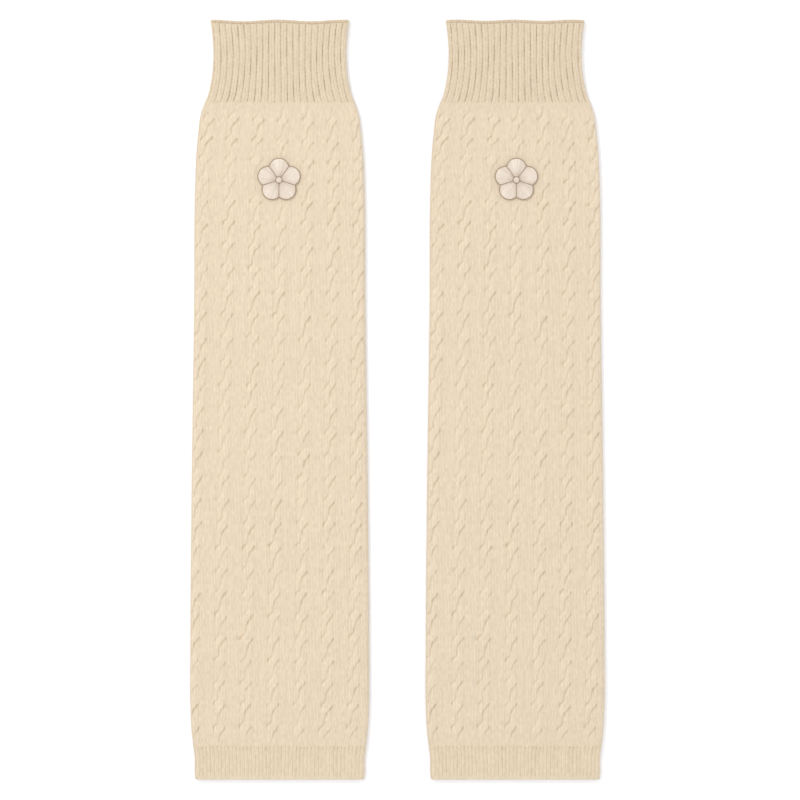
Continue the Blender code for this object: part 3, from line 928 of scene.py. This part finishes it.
def link_chain(tree, source, steps):
    """Feeds a socket through a chain of math nodes, each an operation and its second value."""
    for operation, value in steps:
        node = tree.nodes.new("ShaderNodeMath")
        node.operation = operation
        tree.links.new(source, node.inputs[0])
        if value is not None:
            if isinstance(value, (int, float)):
                node.inputs[1].default_value = value
            else:
                tree.links.new(value, node.inputs[1])
        source = node.outputs[0]
    return source


def stitch_group():
    """Plain knit stitches on a map with one stitch for each unit: their height, with two
    slanted legs of yarn to a stitch, how deep the place between the legs is, and a tone
    for each leg of yarn over two rows."""
    group = bpy.data.node_groups.new("knit_stitches", "ShaderNodeTree")
    group.interface.new_socket("Vector", in_out="INPUT", socket_type="NodeSocketVector")
    group.interface.new_socket("Height", in_out="OUTPUT", socket_type="NodeSocketFloat")
    group.interface.new_socket("Gap", in_out="OUTPUT", socket_type="NodeSocketFloat")
    group.interface.new_socket("Tone", in_out="OUTPUT", socket_type="NodeSocketFloat")
    start = group.nodes.new("NodeGroupInput")
    end = group.nodes.new("NodeGroupOutput")
    split = group.nodes.new("ShaderNodeSeparateXYZ")
    group.links.new(start.outputs["Vector"], split.inputs[0])
    double = group.nodes.new("ShaderNodeVectorMath")
    double.operation = "MULTIPLY"
    double.inputs[1].default_value = TONE_CELL
    group.links.new(start.outputs["Vector"], double.inputs[0])
    cell = group.nodes.new("ShaderNodeVectorMath")
    cell.operation = "FLOOR"
    group.links.new(double.outputs[0], cell.inputs[0])
    tone = group.nodes.new("ShaderNodeTexWhiteNoise")
    tone.noise_dimensions = "2D"
    group.links.new(cell.outputs[0], tone.inputs["Vector"])
    group.links.new(tone.outputs["Value"], end.inputs["Tone"])
    from_middle = link_chain(group, split.outputs["X"], (
        ("FRACT", None), ("SUBTRACT", 0.5), ("ABSOLUTE", None), ("MULTIPLY", 2.0)))
    leg = link_chain(group, from_middle, (
        ("MULTIPLY", 2.0), ("SUBTRACT", 1.0), ("ABSOLUTE", None), ("POWER", YARN_ROUNDNESS),
        ("MULTIPLY", -1.0), ("ADD", 1.0)))
    slant = link_chain(group, from_middle, (("MULTIPLY", STITCH_SLANT),))
    bead = link_chain(group, split.outputs["Y"], (
        ("SUBTRACT", slant), ("FRACT", None), ("MULTIPLY", 2.0), ("SUBTRACT", 1.0),
        ("ABSOLUTE", None), ("POWER", 3.0), ("MULTIPLY", -STITCH_BEAD), ("ADD", 1.0)))
    height = link_chain(group, leg, (("MULTIPLY", bead),))
    gap = link_chain(group, height, (("MULTIPLY", -1.0), ("ADD", 1.0), ("POWER", 2.0)))
    group.links.new(height, end.inputs["Height"])
    group.links.new(gap, end.inputs["Gap"])
    return group


def yarn_group():
    """Colour of yarn, darkened towards the painted shade colour in creases, grooves and between
    stitches, and slightly uneven in tone.
    """
    group = bpy.data.node_groups.new("yarn_colour_with_painted_shade", "ShaderNodeTree")
    for name, kind in (("Yarn", "Color"), ("Shade Colour", "Color"), ("Painted Shade And Tone", "Float"),
                       ("Gap", "Float"), ("Tone", "Float"), ("Vector", "Vector")):
        group.interface.new_socket(name, in_out="INPUT", socket_type="NodeSocket" + kind)
    group.interface.new_socket("Color", in_out="OUTPUT", socket_type="NodeSocketColor")
    start = group.nodes.new("NodeGroupInput")
    end = group.nodes.new("NodeGroupOutput")
    # painted shade between the stitches and in the hollows
    shade = link_chain(group, start.outputs["Gap"], (
        ("MULTIPLY", GAP_SHADE), ("ADD", start.outputs["Painted Shade And Tone"]), ("MINIMUM", 1.0)))
    painted_shade_mix = group.nodes.new("ShaderNodeMix")
    painted_shade_mix.data_type = "RGBA"
    group.links.new(shade, painted_shade_mix.inputs["Factor"])
    group.links.new(start.outputs["Yarn"], painted_shade_mix.inputs["A"])
    group.links.new(start.outputs["Shade Colour"], painted_shade_mix.inputs["B"])
    level = link_chain(group, start.outputs["Tone"], (
        ("SUBTRACT", 0.5), ("MULTIPLY", STITCH_TONE), ("ADD", 1.0)))
    for scale, amount in BLOTCHES:
        noise = group.nodes.new("ShaderNodeTexNoise")
        noise.inputs["Scale"].default_value = scale
        noise.inputs["Detail"].default_value = 2.0
        group.links.new(start.outputs["Vector"], noise.inputs["Vector"])
        part = link_chain(group, noise.outputs["Fac"], (("SUBTRACT", 0.5), ("MULTIPLY", amount)))
        level = link_chain(group, level, (("ADD", part),))
    vary = group.nodes.new("ShaderNodeVectorMath")
    vary.operation = "SCALE"
    group.links.new(painted_shade_mix.outputs["Result"], vary.inputs[0])
    group.links.new(level, vary.inputs["Scale"])
    group.links.new(vary.outputs[0], end.inputs["Color"])
    return group


def yarn_material(groups, name, colour, shading_colour, height, roughness, sheen):
    """Soft yarn: knit relief, colour and painted shade on the cloth's own map."""
    stitches, yarn = groups
    material = bpy.data.materials.new(name)
    material.use_nodes = True
    tree = material.node_tree
    shader = tree.nodes["Principled BSDF"]
    shader.inputs["Roughness"].default_value = roughness
    shader.inputs["Sheen Weight"].default_value = sheen
    shader.inputs["Sheen Roughness"].default_value = SHEEN_ROUGHNESS
    shader.inputs["Specular IOR Level"].default_value = YARN_GLOSS
    knit_map = tree.nodes.new("ShaderNodeUVMap")
    knit_map.uv_map = "knit"
    place = tree.nodes.new("ShaderNodeTexCoord")
    painted_shade_and_tone = tree.nodes.new("ShaderNodeAttribute")
    painted_shade_and_tone.attribute_name = "painted_shade_and_tone"
    relief = tree.nodes.new("ShaderNodeGroup")
    relief.node_tree = stitches
    tree.links.new(knit_map.outputs[0], relief.inputs["Vector"])
    colours = tree.nodes.new("ShaderNodeGroup")
    colours.node_tree = yarn
    colours.inputs["Yarn"].default_value = (*linear(colour), 1.0)
    colours.inputs["Shade Colour"].default_value = (*linear(shading_colour), 1.0)
    tree.links.new(painted_shade_and_tone.outputs["Fac"], colours.inputs["Painted Shade And Tone"])
    tree.links.new(relief.outputs["Gap"], colours.inputs["Gap"])
    tree.links.new(relief.outputs["Tone"], colours.inputs["Tone"])
    tree.links.new(place.outputs["Object"], colours.inputs["Vector"])
    tree.links.new(colours.outputs["Color"], shader.inputs["Base Color"])
    bump = tree.nodes.new("ShaderNodeBump")
    bump.inputs["Strength"].default_value = STITCH_STRENGTH
    bump.inputs["Distance"].default_value = height
    tree.links.new(relief.outputs["Height"], bump.inputs["Height"])
    tree.links.new(bump.outputs["Normal"], shader.inputs["Normal"])
    return material


# ================================================================ surroundings
def make_floor():
    """A plain white surface, just under the cloth."""
    bm = bmesh.new()
    bmesh.ops.create_grid(bm, x_segments=1, y_segments=1, size=FLOOR_HALF)
    bmesh.ops.translate(bm, verts=bm.verts[:], vec=(0.0, 0.0, -FLOOR_DROP))
    mesh = bpy.data.meshes.new("white_surface")
    bm.to_mesh(mesh)
    bm.free()
    material = bpy.data.materials.new("white_surface")
    material.use_nodes = True
    shader = material.node_tree.nodes["Principled BSDF"]
    shader.inputs["Base Color"].default_value = (*FLOOR_COLOUR, 1.0)
    shader.inputs["Roughness"].default_value = FLOOR_ROUGHNESS
    shader.inputs["Specular IOR Level"].default_value = FLOOR_GLOSS
    mesh.materials.append(material)
    floor = bpy.data.objects.new("white_surface", mesh)
    bpy.context.scene.collection.objects.link(floor)


def make_light():
    """Even white light all round, a small slanting key from the upper left, and a weak,
    wide lamp above the left side."""
    world = bpy.data.worlds.new("studio")
    world.use_nodes = True
    background = world.node_tree.nodes["Background"]
    background.inputs["Color"].default_value = (1.0, 1.0, 1.0, 1.0)
    background.inputs["Strength"].default_value = SKY_STRENGTH
    bpy.context.scene.world = world
    for name, direction, distance, size, power in LAMPS:
        data = bpy.data.lights.new(name, "AREA")
        data.shape = "DISK"
        data.size = size
        data.energy = power
        lamp = bpy.data.objects.new(name, data)
        towards = Vector(direction).normalized()
        lamp.location = towards * distance
        lamp.rotation_euler = towards.to_track_quat("Z", "Y").to_euler()
        bpy.context.scene.collection.objects.link(lamp)
    bpy.context.scene.view_settings.view_transform = "Standard"


def make_camera():
    """Straight above the pair, framed as the photograph is."""
    data = bpy.data.cameras.new("camera")
    data.lens = CAMERA_LENS_MM
    data.sensor_width = CAMERA_SENSOR_MM
    camera = bpy.data.objects.new("camera", data)
    distance = PHOTO_PIXELS * PIXEL * CAMERA_LENS_MM / CAMERA_SENSOR_MM
    camera.location = (*CAMERA_OFFSET, CLOTH_HEIGHT + distance)
    bpy.context.scene.collection.objects.link(camera)
    bpy.context.scene.camera = camera


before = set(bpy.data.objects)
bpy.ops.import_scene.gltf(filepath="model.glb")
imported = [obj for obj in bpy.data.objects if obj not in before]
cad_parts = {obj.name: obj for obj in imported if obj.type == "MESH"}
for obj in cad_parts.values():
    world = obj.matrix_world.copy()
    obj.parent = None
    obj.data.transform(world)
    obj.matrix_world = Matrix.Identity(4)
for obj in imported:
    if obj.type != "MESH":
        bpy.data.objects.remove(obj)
cad_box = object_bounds()
TOP_EDGE_Y = cad_box[1][1]

make_camera()
groups = (stitch_group(), yarn_group())
yarns = {row[0]: yarn_material(groups, *row) for row in YARNS}

for row in GARMENTS:
    garment = dict(zip(GARMENT_COLUMNS, row))
    make_cuff(garment, yarns["cuff_yarn"])
    make_leg(garment, yarns["leg_yarn"])
    make_hem(garment, yarns["hem_yarn"])
    make_petals(garment, yarns["petal_thread"])
    make_flower_edging(garment, yarns["edging_thread"])
    make_flower_knots(garment, yarns["petal_thread"])

make_floor()
make_light()
